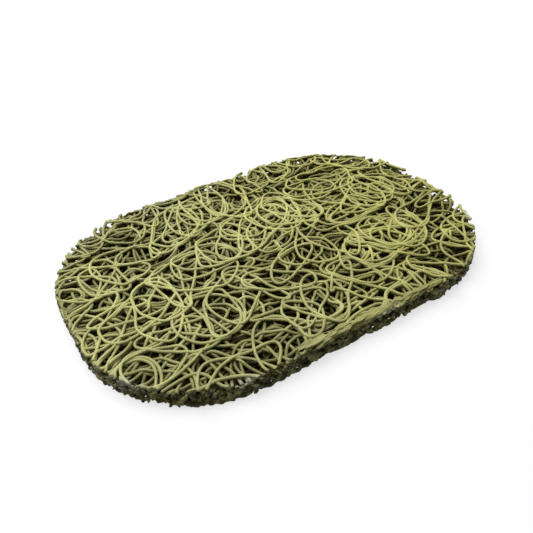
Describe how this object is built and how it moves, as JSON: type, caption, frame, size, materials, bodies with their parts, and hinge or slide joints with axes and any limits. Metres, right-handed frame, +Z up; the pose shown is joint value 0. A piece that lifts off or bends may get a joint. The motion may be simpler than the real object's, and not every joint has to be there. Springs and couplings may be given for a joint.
{
  "type": "soap saver",
  "caption": "Flat springy mat with round corners, made of looped vinyl strands bonded into an open web, which lifts a bar of soap so that it drains and dries.",
  "frame": {"origin": "middle of the underside, on the surface that the mat lies on", "axes": "+X along the mat's length, +Y across it, +Z up through the web"},
  "size_m": [0.1206, 0.0826, 0.0064],
  "materials": {
    "vinyl": "satin olive green soft vinyl"
  },
  "bodies": {
    "root": {"underside_strand_1": "vinyl", "underside_strand_2": "vinyl", "underside_strand_3": "vinyl", "underside_strand_4": "vinyl", "underside_strand_5": "vinyl", "lower_strand_1": "vinyl", "lower_strand_2": "vinyl", "lower_strand_3": "vinyl", "lower_strand_4": "vinyl", "lower_strand_5": "vinyl", "lower_strand_6": "vinyl", "lower_strand_7": "vinyl", "lower_core_strand_1": "vinyl", "lower_core_strand_2": "vinyl", "lower_core_strand_3": "vinyl", "lower_core_strand_4": "vinyl", "lower_core_strand_5": "vinyl", "lower_core_strand_6": "vinyl", "lower_core_strand_7": "vinyl", "core_strand_1": "vinyl", "core_strand_2": "vinyl", "core_strand_3": "vinyl", "core_strand_4": "vinyl", "core_strand_5": "vinyl", "core_strand_6": "vinyl", "core_strand_7": "vinyl", "upper_core_strand_1": "vinyl", "upper_core_strand_2": "vinyl", "upper_core_strand_3": "vinyl", "upper_core_strand_4": "vinyl", "upper_core_strand_5": "vinyl", "upper_core_strand_6": "vinyl", "upper_core_strand_7": "vinyl", "upper_strand_1": "vinyl", "upper_strand_2": "vinyl", "upper_strand_3": "vinyl", "upper_strand_4": "vinyl", "upper_strand_5": "vinyl", "upper_strand_6": "vinyl", "top_strand_1": "vinyl", "top_strand_2": "vinyl", "top_strand_3": "vinyl", "top_strand_4": "vinyl", "top_strand_5": "vinyl", "top_strand_6": "vinyl"}
  },
  "joints": []
}
